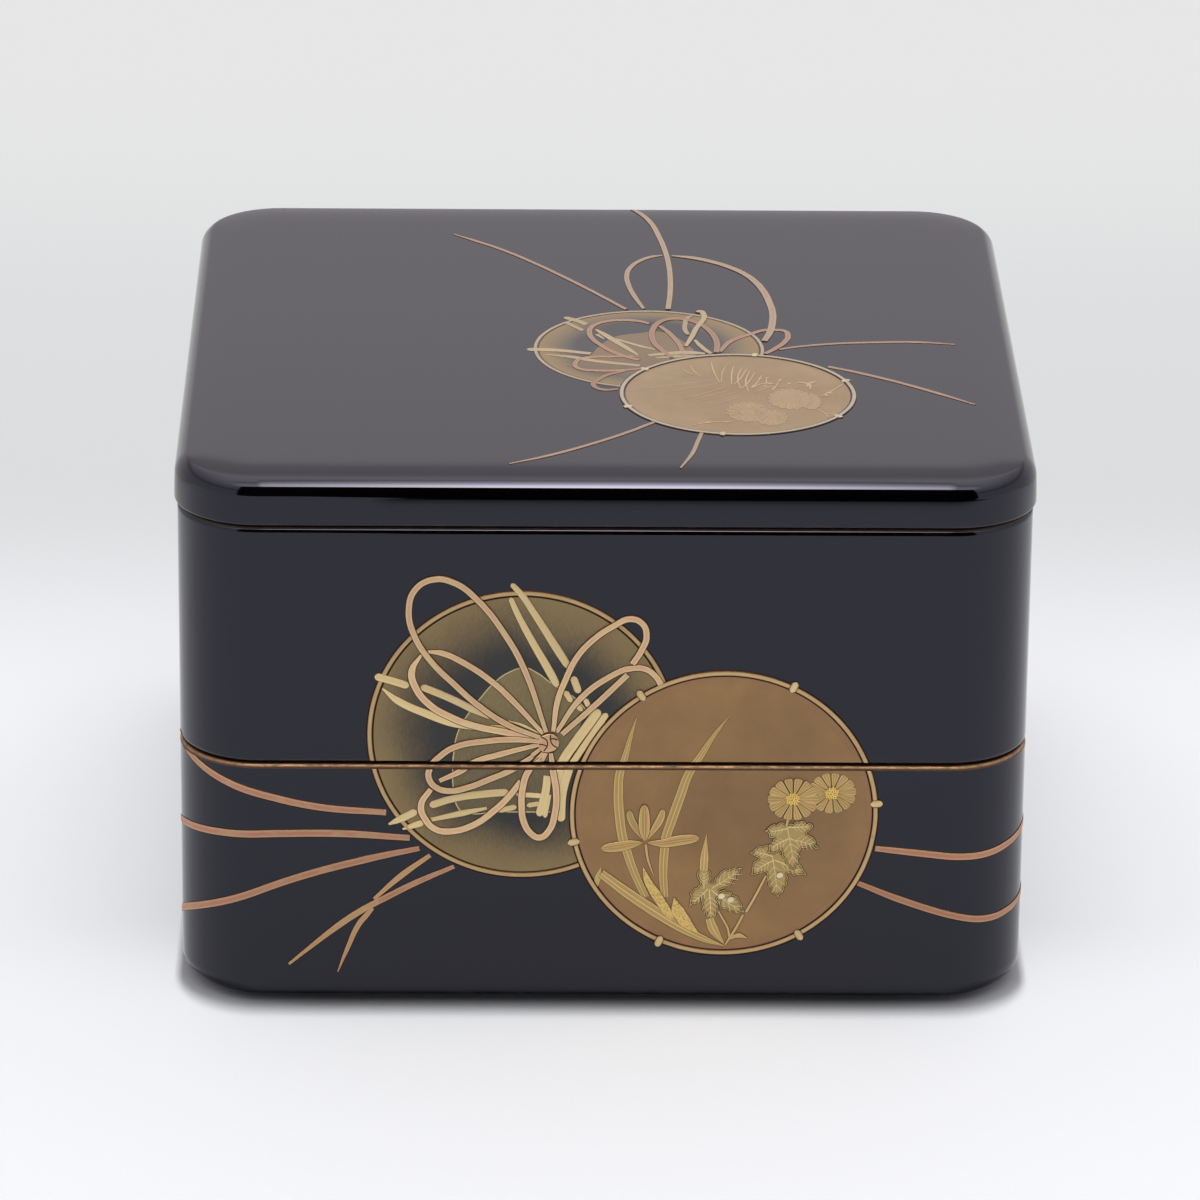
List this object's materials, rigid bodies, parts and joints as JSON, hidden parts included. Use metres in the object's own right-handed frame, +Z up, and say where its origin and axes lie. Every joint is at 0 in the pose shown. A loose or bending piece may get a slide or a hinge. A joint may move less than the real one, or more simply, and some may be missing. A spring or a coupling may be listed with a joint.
{
  "type": "lacquer stacking box",
  "caption": "Square stacking box with rounded corners: footed open tiers that nest on each other under a lift-off hollow lid, black lacquer with gold rims and raised gold decoration.",
  "frame": {"origin": "middle of the lower tier's foot, on the surface that the box stands on", "axes": "+Z up through the middle of the stack, +Y towards the plain back, -Y towards the decorated front, +X to the right of the front"},
  "size_m": [0.1964, 0.1964, 0.1289],
  "materials": {
    "black_lacquer": "wood under polished black lacquer, mirror gloss",
    "gold_lacquer": "gold powder on lacquer, satin, used only for the rims and the raised decoration"
  },
  "bodies": {
    "root": {"lid": "black_lacquer", "upper_tier": "black_lacquer", "lower_tier": "black_lacquer"}
  },
  "joints": []
}
